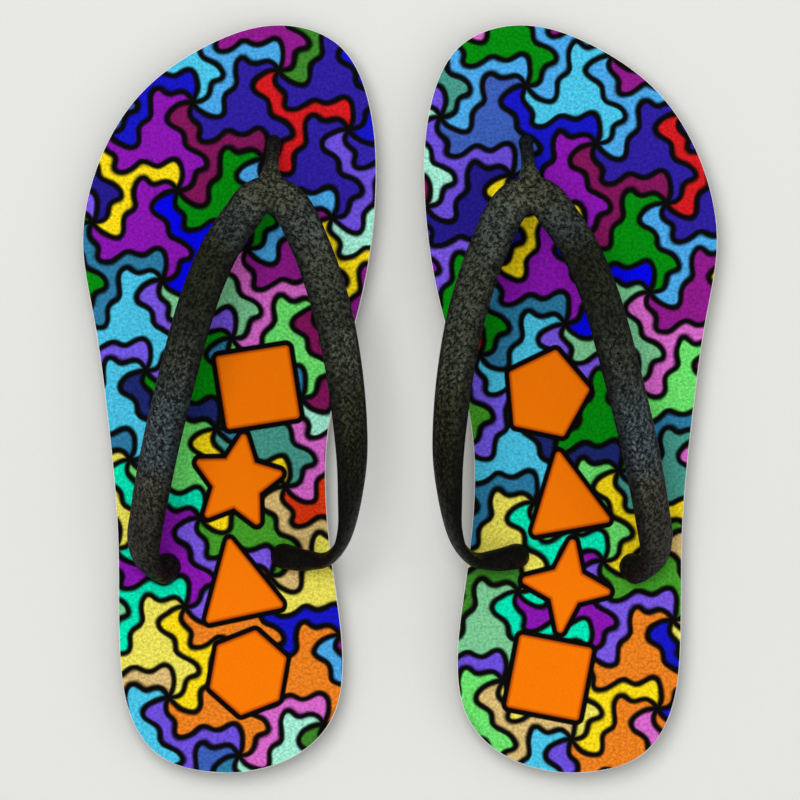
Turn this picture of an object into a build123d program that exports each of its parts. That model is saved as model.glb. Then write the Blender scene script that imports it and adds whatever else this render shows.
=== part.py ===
"""A pair of flat thong sandals with a printed top sheet and a moulded Y strap.

Frame: millimetres, +Z up, +Y towards the toes, origin on the ground midway between the two sandals.
Each sandal is drawn in its own frame, with +X to the outer (little toe) side and the origin on the
ground at mid length, and is then set beside its mirror image.
"""

import os
from collections import namedtuple

from build123d import *

# ---- driving dimensions -------------------------------------------------------------------------
# The pair
AXIS_SPACING = 125.6  # between the two sandals' own long axes

# Outline of one sole, from its long axis and from its two ends
SOLE_LENGTH = 280.0
TIP_INWARD = 19.0  # the toe tip lies this far to the big toe side
BALL_OUTER = 56.0
BALL_INNER = 54.0
BALL_FROM_TIP = 82.0
WAIST_OUTER = 44.0
WAIST_INNER = 35.0
WAIST_FROM_HEEL = 112.0
HEEL_OUTER = 42.0
HEEL_INNER = 41.5
HEEL_WIDEST_FROM_END = 43.0

# Layers, from the ground up
OUTSOLE_THICKNESS = 5.0
FOOTBED_THICKNESS = 10.0
SHEET_THICKNESS = 1.0
SHEET_INSET = 0.3  # the cloth stops short of the foam's edge
INSET_POINTS = 64  # points that carry the outline when it is drawn in
FOOTBED_EDGE_RADIUS = 0.3
OUTSOLE_EDGE_RADIUS = 1.2

# Tread
TREAD_DEPTH = 1.4
TREAD_GROOVE_WIDTH = 1.8
TREAD_PITCH = 6.5
TREAD_WAVE_LENGTH = 12.0
TREAD_WAVE_HEIGHT = 4.0
TREAD_BORDER = 6.0
TREAD_PLUG_MARGIN = 3.0

# Bend line behind the strap's side holes
FLEX_FROM_HEEL = 64.0
FLEX_GROOVE_WIDTH = 3.0
FLEX_GAP = 0.3

# Strap holes
TOE_HOLE_FROM_TIP = 44.3
TOE_HOLE_INWARD = 15.7
OUTER_HOLE_FROM_HEEL = 77.6
OUTER_HOLE_OUTWARD = 23.9
INNER_HOLE_FROM_HEEL = 81.3
INNER_HOLE_INWARD = 19.1
HOLE_CLEARANCE = 0.1
POST_RADIUS = 2.5
NECK_RADIUS = 4.0
PLUG_RADIUS = 8.5
PLUG_THICKNESS = 2.4
PLUG_EDGE_RADIUS = 0.8
PLUG_RECESS_CLEARANCE = 1.0
PLUG_RECESS_DEPTH = 3.0
FOOT_CLEARANCE = 0.1  # each limb's foot ends this far over the cloth
SHAFT_RISE = 0.7  # the straight shaft ends inside the limb's foot, just over the cloth

# Strap band
BAND_WIDTH = 17.4
BAND_THICKNESS = 3.8

# ---- places worked out from them ----------------------------------------------------------------
TIP_Y = SOLE_LENGTH / 2
HEEL_Y = -SOLE_LENGTH / 2
FOOTBED_Z = OUTSOLE_THICKNESS
SHEET_Z = FOOTBED_Z + FOOTBED_THICKNESS
TOP_Z = SHEET_Z + SHEET_THICKNESS
FLEX_Y = HEEL_Y + FLEX_FROM_HEEL

TOE_HOLE = Vector(-TOE_HOLE_INWARD, TIP_Y - TOE_HOLE_FROM_TIP)
OUTER_HOLE = Vector(OUTER_HOLE_OUTWARD, HEEL_Y + OUTER_HOLE_FROM_HEEL)
INNER_HOLE = Vector(-INNER_HOLE_INWARD, HEEL_Y + INNER_HOLE_FROM_HEEL)

# A station of the strap: its centre from the hole it rises from and over the footbed, its width and
# thickness as shares of the band's, and which way its outer face looks. The first and last of a run
# only steer the curve.
Station = namedtuple("Station", "x y z width thickness face_x face_y face_z")

OUTER_ARM = [
    Station(0.0, 0.0, -7.0, 0.55, 2.40, 0.85, -0.50, 0.00),
    Station(0.0, 0.0, -1.5, 0.56, 2.50, 0.85, -0.50, 0.00),
    Station(0.8, -0.7, 2.0, 0.60, 2.60, 0.80, -0.55, 0.10),
    Station(3.6, -1.7, 5.2, 0.74, 2.10, 0.76, -0.52, 0.38),
    Station(7.3, 1.2, 9.4, 0.90, 1.50, 0.74, -0.36, 0.56),
    Station(8.7, 8.4, 14.6, 0.99, 1.12, 0.71, -0.22, 0.66),
    Station(7.4, 17.0, 20.9, 1.00, 1.00, 0.68, -0.12, 0.72),
    Station(5.0, 30.0, 27.4, 1.00, 1.00, 0.65, -0.05, 0.76),
    Station(1.2, 48.0, 32.2, 1.00, 1.00, 0.62, 0.00, 0.79),
    Station(-4.2, 70.0, 33.9, 1.00, 1.00, 0.59, 0.05, 0.81),
    Station(-9.6, 90.5, 33.2, 1.00, 1.00, 0.56, 0.12, 0.82),
    Station(-14.0, 104.0, 31.4, 0.99, 1.00, 0.52, 0.20, 0.83),
    Station(-18.4, 114.6, 29.2, 0.97, 1.00, 0.46, 0.26, 0.85),
    Station(-23.0, 123.0, 27.0, 0.94, 1.00, 0.38, 0.30, 0.88),
    Station(-28.1, 130.4, 24.9, 0.90, 1.00, 0.26, 0.34, 0.90),
    Station(-32.6, 136.2, 23.7, 0.87, 1.02, 0.13, 0.36, 0.92),
]
YOKE_CROWN = Station(1.2, -19.9, 23.2, 0.86, 1.04, 0.00, 0.37, 0.93)
INNER_ARM = [
    Station(-1.1, 132.3, 23.8, 0.87, 1.02, -0.13, 0.36, 0.92),
    Station(-5.5, 126.6, 25.2, 0.90, 1.00, -0.26, 0.33, 0.90),
    Station(-9.1, 118.8, 27.7, 0.94, 1.00, -0.40, 0.28, 0.87),
    Station(-12.5, 110.6, 30.5, 0.97, 1.00, -0.48, 0.22, 0.84),
    Station(-15.5, 102.0, 33.1, 0.99, 1.00, -0.53, 0.17, 0.83),
    Station(-19.1, 89.6, 36.2, 1.00, 1.00, -0.58, 0.10, 0.81),
    Station(-22.5, 72.4, 38.9, 1.00, 1.00, -0.64, 0.05, 0.77),
    Station(-24.8, 54.4, 39.6, 1.00, 1.00, -0.70, 0.00, 0.71),
    Station(-25.9, 37.4, 37.2, 1.00, 1.00, -0.78, -0.05, 0.62),
    Station(-25.4, 23.6, 32.0, 0.98, 1.02, -0.85, -0.12, 0.50),
    Station(-24.2, 13.4, 25.0, 0.92, 1.08, -0.90, -0.22, 0.34),
    Station(-21.4, 5.0, 17.4, 0.80, 1.14, -0.84, -0.44, 0.16),
    Station(-15.8, -0.8, 10.6, 0.66, 1.40, -0.66, -0.66, 0.16),
    Station(-8.4, -1.5, 6.8, 0.60, 2.10, -0.40, -0.80, 0.35),
    Station(-1.8, -0.4, 3.6, 0.57, 2.45, 0.00, -0.97, 0.20),
    Station(0.0, 0.0, -1.5, 0.56, 2.50, 0.00, -1.00, 0.00),
    Station(0.0, 0.0, -7.0, 0.55, 2.40, 0.00, -1.00, 0.00),
]
TOE_POST = [
    Station(1.3, -23.0, 23.0, 0.70, 0.60, 0.00, 0.37, 0.93),
    Station(1.2, -17.8, 22.6, 0.64, 0.86, 0.00, 0.40, 0.91),
    Station(1.0, -13.6, 20.6, 0.50, 1.10, 0.00, 0.55, 0.83),
    Station(0.8, -10.0, 17.2, 0.33, 1.26, 0.00, 0.72, 0.69),
    Station(0.5, -6.0, 11.8, 0.29, 1.31, 0.00, 0.87, 0.50),
    Station(0.2, -2.6, 5.8, 0.29, 1.32, 0.00, 0.97, 0.24),
    Station(0.0, -0.4, 1.8, 0.31, 1.40, 0.00, 1.00, 0.10),
    Station(0.0, 0.0, -1.5, 0.32, 1.46, 0.00, 1.00, 0.00),
    Station(0.0, 0.0, -7.0, 0.32, 1.46, 0.00, 1.00, 0.00),
]
CUTS_PER_STATION = 2

# The section's two sides as curve poles: (across, up), in half widths and in thicknesses
FLAT_CROWN = [(-1, 0), (-1, 0.42), (-0.62, 0.85), (0.62, 0.85), (1, 0.42), (1, 0)]
FLAT_UNDERSIDE = [(1, 0), (1, -0.30), (0.8, -0.39), (-0.8, -0.39), (-1, -0.30), (-1, 0)]
ROUND_CROWN = [(-1, 0), (-1, 0.4), (-0.4, 0.6), (0.4, 0.6), (1, 0.4), (1, 0)]
ROUND_UNDERSIDE = [(1, 0), (1, -0.4), (0.4, -0.6), (-0.4, -0.6), (-1, -0.4), (-1, 0)]
ROUND_FROM = 1.1  # thicker than this, the section grows from the flat band's into a round one
ROUND_AT = 1.8

# ---- the sole -----------------------------------------------------------------------------------
def sole_outline():
    """Closed outline of the sole, anticlockwise from the end of the heel."""
    ball_y = TIP_Y - BALL_FROM_TIP
    waist_y = HEEL_Y + WAIST_FROM_HEEL
    heel_y = HEEL_Y + HEEL_WIDEST_FROM_END
    return Spline(
        (2.4, HEEL_Y),
        (13.6, HEEL_Y + 1.1),
        (HEEL_OUTER - 14.6, HEEL_Y + 6.5),
        (HEEL_OUTER - 3.2, HEEL_Y + 23.5),
        (HEEL_OUTER, heel_y),
        (WAIST_OUTER - 1.2, waist_y - 25.0),
        (WAIST_OUTER + 3.0, waist_y + 24.0),
        (BALL_OUTER - 4.0, ball_y - 27.0),
        (BALL_OUTER, ball_y),
        (BALL_OUTER - 5.0, ball_y + 28.0),
        (BALL_OUTER - 21.0, TIP_Y - 26.4),
        (BALL_OUTER - 46.6, TIP_Y - 7.6),
        (-TIP_INWARD, TIP_Y),
        (-BALL_INNER + 13.0, TIP_Y - 8.4),
        (-BALL_INNER + 3.4, TIP_Y - 26.4),
        (-BALL_INNER, ball_y + 24.0),
        (-BALL_INNER + 6.4, ball_y - 24.0),
        (-WAIST_INNER - 1.0, waist_y + 16.0),
        (-WAIST_INNER, waist_y - 3.0),
        (-HEEL_INNER + 3.0, heel_y + 28.0),
        (-HEEL_INNER, heel_y),
        (-HEEL_INNER + 4.8, HEEL_Y + 19.0),
        (-HEEL_INNER + 19.0, HEEL_Y + 5.8),
        (-8.8, HEEL_Y + 1.1),
        periodic=True,
    )


def sole_face(inset=0.0):
    """The sole's face in plan, or the same drawn in evenly from its edge."""
    outline = sole_outline()
    if inset:
        drawn_in = []
        for i in range(INSET_POINTS):
            along = outline % (i / INSET_POINTS)
            drawn_in.append(outline @ (i / INSET_POINTS) + Vector(-along.Y, along.X) * inset)
        outline = Spline(*drawn_in, periodic=True)
    return make_face(outline)


def slab(face, bottom, thickness):
    """A face in plan as a flat layer."""
    return Pos(0, 0, bottom) * extrude(face, thickness)


def at(hole, z):
    """A place on a hole's axis."""
    return Pos(hole.X, hole.Y, z)


def strap_bores(bottom, thickness):
    """What the strap's post and two necks pass through in one layer."""
    bores = Part()
    for hole, radius in ((TOE_HOLE, POST_RADIUS), (OUTER_HOLE, NECK_RADIUS), (INNER_HOLE, NECK_RADIUS)):
        bores += at(hole, bottom + thickness / 2) * Cylinder(radius + HOLE_CLEARANCE, thickness)
    return bores


def print_sheet():
    """The cloth that carries the print, bonded to the foam."""
    cloth = slab(sole_face(SHEET_INSET), SHEET_Z, SHEET_THICKNESS)
    return cloth - strap_bores(SHEET_Z, SHEET_THICKNESS)


def footbed():
    """The foam layer, its upper edge rounded."""
    foam = slab(sole_face(), FOOTBED_Z, FOOTBED_THICKNESS)
    foam = fillet(foam.faces().sort_by(Axis.Z)[-1].edges(), FOOTBED_EDGE_RADIUS)
    return foam - strap_bores(FOOTBED_Z, FOOTBED_THICKNESS)


def tread_grooves():
    """Zigzag grooves inside a plain border, clear of the plug recesses and of the bend line."""
    field = sole_face(TREAD_BORDER)
    box = field.bounding_box()
    clear = Sketch()
    for hole in (TOE_HOLE, OUTER_HOLE, INNER_HOLE):
        clear += Pos(hole.X, hole.Y) * Circle(PLUG_RADIUS + PLUG_RECESS_CLEARANCE + TREAD_PLUG_MARGIN)
    flex_land = FLEX_GROOVE_WIDTH + 2 * TREAD_PLUG_MARGIN
    clear += Pos(0, FLEX_Y) * Rectangle(2 * box.size.X, flex_land)

    half_wave = TREAD_WAVE_LENGTH / 2
    steps = int(box.size.X / half_wave) + 3
    rows = int(box.size.Y / TREAD_PITCH) + 2
    grooves = []
    for row in range(rows):
        lower, upper = [], []
        for step in range(steps):
            x = box.min.X - half_wave + step * half_wave
            y = box.min.Y + row * TREAD_PITCH + (TREAD_WAVE_HEIGHT if step % 2 else 0.0)
            lower.append((x, y - TREAD_GROOVE_WIDTH / 2))
            upper.append((x, y + TREAD_GROOVE_WIDTH / 2))
        grooves.append(make_face(Polyline(*lower, *reversed(upper), close=True)))
    pattern = (field - clear) & Sketch(children=grooves)
    return extrude(pattern, TREAD_DEPTH)


def outsole():
    """The rubber layer on the ground: tread, bend groove and a recess for each plug."""
    rubber = slab(sole_face(), 0, OUTSOLE_THICKNESS)
    rubber = fillet(rubber.faces().sort_by(Axis.Z)[0].edges(), OUTSOLE_EDGE_RADIUS)
    rubber -= strap_bores(0, OUTSOLE_THICKNESS)
    for hole in (TOE_HOLE, OUTER_HOLE, INNER_HOLE):
        rubber -= at(hole, PLUG_RECESS_DEPTH / 2) * Cylinder(
            PLUG_RADIUS + PLUG_RECESS_CLEARANCE, PLUG_RECESS_DEPTH
        )
    flex_groove = Pos(0, FLEX_Y, TREAD_DEPTH / 2) * Box(
        4 * BALL_OUTER, FLEX_GROOVE_WIDTH, TREAD_DEPTH
    )
    return rubber - flex_groove - tread_grooves()


def front_and_heel(layer):
    """One layer cut at the bend line, because a rigid solid can't bend."""
    reach = 2 * SOLE_LENGTH
    ahead = Pos(0, FLEX_Y + FLEX_GAP / 2 + reach / 2, 0) * Box(reach, reach, reach)
    behind = Pos(0, FLEX_Y - FLEX_GAP / 2 - reach / 2, 0) * Box(reach, reach, reach)
    return layer & ahead, layer & behind


# ---- the strap ----------------------------------------------------------------------------------
def placed(stations, hole):
    """Stations measured from a hole, set in the sandal's frame and in millimetres."""
    return [
        s._replace(
            x=hole.X + s.x,
            y=hole.Y + s.y,
            z=TOP_Z + s.z,
            width=s.width * BAND_WIDTH,
            thickness=s.thickness * BAND_THICKNESS,
        )
        for s in stations
    ]


def eased(before, start, end, after, t):
    """A value on the smooth curve through four values, t of the way from start to end."""
    return 0.5 * (
        2 * start
        + (end - before) * t
        + (2 * before - 5 * start + 4 * end - after) * t**2
        + (3 * start - before - 3 * end + after) * t**3
    )


def close_stations(stations):
    """The run of stations with more worked out between them, without its two steering ends."""
    run = []
    for i in range(1, len(stations) - 2):
        four = stations[i - 1 : i + 3]
        for cut in range(CUTS_PER_STATION):
            values = [eased(*each, cut / CUTS_PER_STATION) for each in zip(*four)]
            run.append(Station(*values))
    run.append(stations[-2])
    return [stations[0], *run, stations[-1]]


def section_planes(stations):
    """A plane across the run at each station: X across the band, Y out of its outer face."""
    planes = []
    for before, here, after in zip(stations, stations[1:], stations[2:]):
        along = (Vector(*after[:3]) - Vector(*before[:3])).normalized()
        face = Vector(here.face_x, here.face_y, here.face_z)
        across = face.cross(along).normalized()
        planes.append(Plane(origin=Vector(*here[:3]), x_dir=across, z_dir=along))
    return planes


def section(station):
    """The section's outline at a station: the flat band's, or nearer round where it is thick."""
    share = (station.thickness / BAND_THICKNESS - ROUND_FROM) / (ROUND_AT - ROUND_FROM)
    share = min(max(share, 0.0), 1.0)
    sides = []
    for flat, curved in ((FLAT_CROWN, ROUND_CROWN), (FLAT_UNDERSIDE, ROUND_UNDERSIDE)):
        poles = []
        for (u0, v0), (u1, v1) in zip(flat, curved):
            u = u0 + (u1 - u0) * share
            v = v0 + (v1 - v0) * share
            poles.append((u * station.width / 2, v * station.thickness))
        sides.append(Bezier(*poles))
    return make_face(sides)


def moulded(stations):
    """A smooth solid through a run of stations."""
    run = close_stations(stations)
    return loft([plane * section(s) for plane, s in zip(section_planes(run), run[1:-1])])


def band_run():
    """The band's stations from the outer side hole, round the yoke, to the inner side hole."""
    crown = placed([YOKE_CROWN], TOE_HOLE)
    return placed(OUTER_ARM, OUTER_HOLE) + crown + placed(INNER_ARM, INNER_HOLE)


def plug(hole, radius):
    """The straight part through the sole and the flat head in the outsole's recess."""
    shaft_bottom = PLUG_RECESS_DEPTH - PLUG_THICKNESS
    shaft_top = TOP_Z + SHAFT_RISE
    shaft = at(hole, (shaft_top + shaft_bottom) / 2) * Cylinder(radius, shaft_top - shaft_bottom)
    head = at(hole, shaft_bottom + PLUG_THICKNESS / 2) * Cylinder(PLUG_RADIUS, PLUG_THICKNESS)
    head = fillet(head.edges().sort_by(Axis.Z)[:1], PLUG_EDGE_RADIUS)
    return shaft + head


def strap():
    """The whole moulded strap: band, toe post, two necks and three plugs in one piece."""
    over_cloth = Pos(0, 0, TOP_Z + FOOT_CLEARANCE + SOLE_LENGTH / 2) * Box(
        SOLE_LENGTH, SOLE_LENGTH, SOLE_LENGTH
    )
    piece = (moulded(band_run()) + moulded(placed(TOE_POST, TOE_HOLE))) & over_cloth
    piece += plug(TOE_HOLE, POST_RADIUS)
    piece += plug(OUTER_HOLE, NECK_RADIUS)
    piece += plug(INNER_HOLE, NECK_RADIUS)
    return piece


# ---- the pair -----------------------------------------------------------------------------------
def sandal():
    """One sandal's nodes by name, in its own frame."""
    nodes = {}
    for name, layer in (("print_sheet", print_sheet()), ("footbed", footbed()), ("outsole", outsole())):
        nodes[f"{name}_front"], nodes[f"{name}_heel"] = front_and_heel(layer)
    nodes["strap"] = strap()
    return nodes


def main():
    os.makedirs("parts", exist_ok=True)
    for name, shape in sandal().items():
        right = Pos(AXIS_SPACING / 2, 0, 0) * shape
        export_step(right, f"parts/right_{name}.step")
        export_step(mirror(right, about=Plane.YZ), f"parts/left_{name}.step")


main()
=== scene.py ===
"""Looks of a pair of flip-flops: printed cloth tops on white foam, black rubber outsoles, charcoal straps.

Lengths are in metres in the scene, and in millimetres in the patterns, the strap and its ribs.
"""

import math

import bmesh
import bpy
import numpy as np
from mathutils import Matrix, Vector


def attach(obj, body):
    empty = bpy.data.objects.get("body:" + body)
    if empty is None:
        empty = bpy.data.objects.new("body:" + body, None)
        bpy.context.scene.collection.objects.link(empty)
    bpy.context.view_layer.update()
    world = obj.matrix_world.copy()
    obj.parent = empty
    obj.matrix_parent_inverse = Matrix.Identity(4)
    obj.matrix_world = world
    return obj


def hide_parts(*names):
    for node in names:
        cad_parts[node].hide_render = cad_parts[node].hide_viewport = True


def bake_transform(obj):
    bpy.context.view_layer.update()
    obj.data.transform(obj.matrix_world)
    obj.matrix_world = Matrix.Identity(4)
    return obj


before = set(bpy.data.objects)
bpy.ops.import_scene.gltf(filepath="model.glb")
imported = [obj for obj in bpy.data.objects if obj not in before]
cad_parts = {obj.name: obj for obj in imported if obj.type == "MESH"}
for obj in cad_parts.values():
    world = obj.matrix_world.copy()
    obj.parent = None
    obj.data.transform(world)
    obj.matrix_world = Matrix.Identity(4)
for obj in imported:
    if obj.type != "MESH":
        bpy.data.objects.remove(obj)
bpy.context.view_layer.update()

scene = bpy.context.scene
SIDE_AXIS = 0.0628  # from the middle of the pair to each sandal's own long axis
SOLE_TOP = 0.016
MM = 1000.0  # millimetres in a metre
SOLE_TOP_MM = MM * SOLE_TOP


# ---- colours ----------------------------------------------------------------------------------------
def linear(r, g, b):
    """A colour given as 0-255 screen values, as the linear values a shader takes."""
    out = []
    for value in (r, g, b):
        c = value / 255
        out.append(c / 12.92 if c <= 0.04045 else ((c + 0.055) / 1.055) ** 2.4)
    return (*out, 1.0)


# Inks of the shapes whose points look one way, and of those that look the other way, so that two
# neighbours never share one. Violets that look alike stand here several times, so they are commoner.
INKS_ONE_WAY = [
    (124, 88, 232), (60, 135, 40), (40, 225, 70), (255, 225, 20), (110, 80, 224), (130, 20, 90),
    (75, 170, 235), (0, 0, 240), (220, 105, 205), (20, 20, 200), (222, 190, 120), (0, 235, 185),
    (118, 92, 236), (28, 40, 110), (215, 25, 30), (45, 125, 165),
]
INKS_OTHER_WAY = [
    (165, 240, 215), (45, 30, 160), (70, 160, 40), (36, 26, 140), (145, 25, 140), (75, 200, 235),
    (110, 230, 110), (60, 95, 185), (52, 34, 172), (225, 55, 15), (240, 230, 90), (70, 155, 140),
    (140, 20, 180), (0, 140, 10), (240, 130, 30), (125, 205, 150),
]
INK_DRAW = 11.5  # another value deals the inks out another way


# The rubber's colour along the strap in millimetres, from the outer foot, over the yoke, to the inner
# foot.
# Besides the rubber's own charcoal it holds painted light: a painted bluish sheen in places on the arms
# and near the yoke, and painted shade that makes it warm and dark at the feet and low on the inner arm.
# From
# POST_TONES_FROM on, it is the toe post's colour, from the yoke down to its hole.
STRAP_TONES = [
    (0.0, (26, 23, 20)),
    (14.0, (30, 27, 23)),
    (30.0, (35, 33, 25)),
    (48.0, (36, 35, 28)),
    (62.0, (38, 45, 47)),
    (78.0, (38, 45, 46)),
    (96.0, (28, 31, 25)),
    (120.0, (20, 23, 13)),
    (138.0, (18, 21, 9)),
    (152.0, (38, 43, 41)),
    (171.0, (49, 51, 38)),
    (190.0, (46, 51, 47)),
    (208.0, (43, 46, 37)),
    (243.0, (39, 42, 33)),
    (262.0, (27, 28, 17)),
    (280.0, (15, 15, 6)),
    (298.0, (8, 7, 4)),
    (350.0, (9, 7, 4)),
    (500.0, (50, 52, 39)),
    (504.0, (46, 48, 36)),
    (513.0, (18, 21, 13)),
    (532.0, (15, 17, 10)),
]
POST_TONES_FROM = 500.0
STRAP_TONES_END = 600.0


# ---- node helpers -----------------------------------------------------------------------------------
class Net:
    """Adds nodes to a tree and wires them, so that a pattern reads as a few lines."""

    def __init__(self, tree):
        self.tree = tree

    def node(self, kind, **settings):
        made = self.tree.nodes.new(kind)
        for name, value in settings.items():
            setattr(made, name, value)
        return made

    def wire(self, value, socket):
        if isinstance(value, bpy.types.NodeSocket):
            self.tree.links.new(value, socket)
        elif value is not None:
            socket.default_value = value

    def math(self, operation, *values):
        made = self.node("ShaderNodeMath", operation=operation)
        for value, socket in zip(values, made.inputs):
            self.wire(value, socket)
        return made.outputs[0]

    def vector(self, operation, *values, output=0):
        made = self.node("ShaderNodeVectorMath", operation=operation)
        for value, socket in zip(values, made.inputs):
            self.wire(value, socket)
        return made.outputs[output]

    def joined(self, *values):
        """One vector from X, Y and Z."""
        made = self.node("ShaderNodeCombineXYZ")
        for value, socket in zip(values, made.inputs):
            self.wire(value, socket)
        return made.outputs[0]

    def parts(self, vector):
        """A vector's X, Y and Z."""
        made = self.node("ShaderNodeSeparateXYZ")
        self.wire(vector, made.inputs[0])
        return made.outputs

    def stored(self, name):
        """A vector that is stored on each corner of the piece."""
        made = self.node("ShaderNodeAttribute", attribute_name=name, attribute_type="GEOMETRY")
        return made.outputs["Vector"]

    def scaled(self, vector, by):
        made = self.node("ShaderNodeVectorMath", operation="SCALE")
        self.wire(vector, made.inputs["Vector"])
        self.wire(by, made.inputs["Scale"])
        return made.outputs[0]

    def ramp(self, value, low, high, start=0.0, end=1.0, smooth=True):
        """start below low, end above high."""
        made = self.node("ShaderNodeMapRange", interpolation_type="SMOOTHSTEP" if smooth else "LINEAR")
        names = ("Value", "From Min", "From Max", "To Min", "To Max")
        for name, given in zip(names, (value, low, high, start, end)):
            self.wire(given, made.inputs[name])
        return made.outputs[0]

    def mix(self, share, first, second, blend="MIX"):
        made = self.node("ShaderNodeMix", data_type="RGBA", blend_type=blend)
        self.wire(share, made.inputs[0])
        self.wire(first, made.inputs[6])
        self.wire(second, made.inputs[7])
        return made.outputs[2]

    def noise(self, point, scale, detail=2.0, rough=0.5, colour=False):
        made = self.node("ShaderNodeTexNoise")
        self.wire(point, made.inputs["Vector"])
        made.inputs["Scale"].default_value = scale
        made.inputs["Detail"].default_value = detail
        made.inputs["Roughness"].default_value = rough
        return made.outputs[1 if colour else 0]

    def tones(self, value, stops, interpolation):
        """Colours along value from 0 to 1, from pairs of a place and a colour."""
        made = self.node("ShaderNodeValToRGB")
        bands = made.color_ramp
        bands.interpolation = interpolation
        for i, (place, colour) in enumerate(stops):
            stop = bands.elements[i] if i < 2 else bands.elements.new(place)
            stop.position = place
            stop.color = linear(*colour)
        self.wire(value, made.inputs[0])
        return made.outputs[0]

    def steps(self, value, colours):
        """One flat colour for each equal step of value from 0 to 1."""
        stops = [(i / len(colours), colour) for i, colour in enumerate(colours)]
        return self.tones(value, stops, "CONSTANT")

    def bump(self, height, distance, strength=1.0, normal=None):
        made = self.node("ShaderNodeBump")
        made.inputs["Distance"].default_value = distance
        made.inputs["Strength"].default_value = strength
        self.wire(height, made.inputs["Height"])
        self.wire(normal, made.inputs["Normal"])
        return made.outputs[0]


def finish_named(name, roughness=0.6, specular=0.5):
    """An empty finish: its material, its net and its shader."""
    material = bpy.data.materials.new(name)
    material.use_nodes = True
    net = Net(material.node_tree)
    shader = next(n for n in material.node_tree.nodes if n.type == "BSDF_PRINCIPLED")
    shader.inputs["Roughness"].default_value = roughness
    shader.inputs["Specular IOR Level"].default_value = specular
    return material, net, shader


# ---- the print --------------------------------------------------------------------------------------
SWIRL_SIDE = 34.0  # side of the triangle that each interlocking shape grows from
SWIRL_BEND = 0.16
SWIRL_WAVES = [(1.0, 0.0), (0.6, -0.8), (0.25, 1.0)]  # height and shift of each wave in an edge
SWIRL_TURN = 0.35
OUTLINE_HALF = 1.1  # half the width of the black line between two shapes
OUTLINE_SOFT = 0.75  # to both sides of that, the line fades into the ink
OUTLINE_FALL = 1.8  # the power that keeps the fade dark near the line
OUTLINE_INK = (6, 6, 5)
HAND_DRAWN = 0.8  # how far a line strays from the exact curve
STRAY_SCALE = 0.11
LEFT_PATTERN_SHIFT = (6.0, 11.0)
RIGHT_PATTERN_SHIFT = (-19.0, 27.0)
NOISE_SPAN = (0.3, 0.7)  # nearly all of a noise lies between these
GRAIN_SCALE = 0.85
GRAIN_TONES = (0.62, 1.32)  # the ink's brightness in the grain's dark and light places
FINE_GRAIN_SCALE = 2.6
FINE_GRAIN_TONES = (-0.12, 0.12)
THREAD_PITCH = 0.6
DYE_DEPTH = 0.5  # the print goes this far into the cloth, so its cut edge is pale
UNDYED_CLOTH = (205, 203, 196)


def swirl_pattern(net, point):
    """Interlocking three-armed shapes. Gives the distance to the nearest edge and each shape's ink."""
    height = SWIRL_SIDE * math.sqrt(3) / 2
    ways = []
    for i in range(3):
        angle = math.pi / 2 + i * 2 * math.pi / 3 + SWIRL_TURN
        ways.append(Vector((math.cos(angle), math.sin(angle), 0.0)))
    plain, waves, slopes = [], [], []
    for way in ways:
        q = net.vector("DOT_PRODUCT", point, way / height, output=1)
        wave, slope = 0.0, 0.0
        for times, (size, shift) in enumerate(SWIRL_WAVES, 1):
            phase = net.math("MULTIPLY_ADD", q, 2 * math.pi * times, shift)
            wave = net.math("MULTIPLY_ADD", net.math("SINE", phase), size, wave)
            slope = net.math("MULTIPLY_ADD", net.math("COSINE", phase), size * times, slope)
        plain.append(q)
        waves.append(wave)
        slopes.append(net.math("MULTIPLY", slope, 2 * math.pi * SWIRL_BEND))
    edge, cells = None, []
    for i in range(3):
        after, before = (i + 1) % 3, (i + 2) % 3
        lift = net.math("SUBTRACT", waves[before], waves[after])
        q = net.math("MULTIPLY_ADD", lift, SWIRL_BEND, plain[i])
        cells.append(net.math("FLOOR", q))
        rise = net.vector(
            "SUBTRACT",
            net.scaled(ways[before], slopes[before]),
            net.scaled(ways[after], slopes[after]),
        )
        steepness = net.vector("LENGTH", net.vector("ADD", rise, ways[i]), output=1)
        near = net.math("DIVIDE", net.math("PINGPONG", q, 0.5), steepness)
        near = net.math("MULTIPLY", near, height)
        edge = near if edge is None else net.math("MINIMUM", edge, near)
    # A shape's three cell numbers add up to -1 where it points one way, and to -2 where the other.
    total = net.math("ADD", net.math("ADD", cells[0], cells[1]), cells[2])
    one_way = net.math("GREATER_THAN", total, -1.5)
    cell = net.joined(*(net.math("ADD", value, INK_DRAW) for value in cells))
    lot = net.node("ShaderNodeTexWhiteNoise", noise_dimensions="3D")
    net.wire(cell, lot.inputs["Vector"])
    drawn = lot.outputs[0]
    ink = net.mix(one_way, net.steps(drawn, INKS_OTHER_WAY), net.steps(drawn, INKS_ONE_WAY))
    return edge, ink


# A plain bold shape: centre on the sandal, turn in degrees, number of points, how far the sides pull
# in between the points as a share of a straight side, size to a point and width share.
LEFT_SHAPES = [
    ((9.6, 4.4), 54, 4, 1.0, 19.0, 1.0),
    ((2.0, -31.0), -8, 5, 0.62, 18.0, 0.94),
    ((2.8, -71.0), 12, 3, 1.0, 19.0, 0.88),
    ((6.0, -102.4), -10, 6, 1.0, 16.0, 0.94),
]
RIGHT_SHAPES = [
    ((-8.0, 1.6), -12, 5, 1.0, 17.0, 0.94),
    ((-0.4, -38.5), 10, 3, 1.0, 19.0, 0.88),
    ((-0.6, -70.0), -8, 4, 0.55, 17.6, 0.94),
    ((-7.0, -104.2), 34, 4, 1.0, 19.0, 1.0),
]
SHAPE_ROUND = 1.4
SHAPE_INK = (255, 125, 0)
SHAPE_SHADE = (186, 72, 0)
SHAPE_SHADE_WIDTH = 1.5
SHAPE_OUTLINE = 1.9
SHAPE_OUTLINE_INK = (5, 4, 3)
SHAPE_OUTLINE_SOFT = 0.25
SHAPE_OUTLINE_FADE = (-0.2, 0.4)  # where the outline gives way to the swirls, from its outer edge


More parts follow.
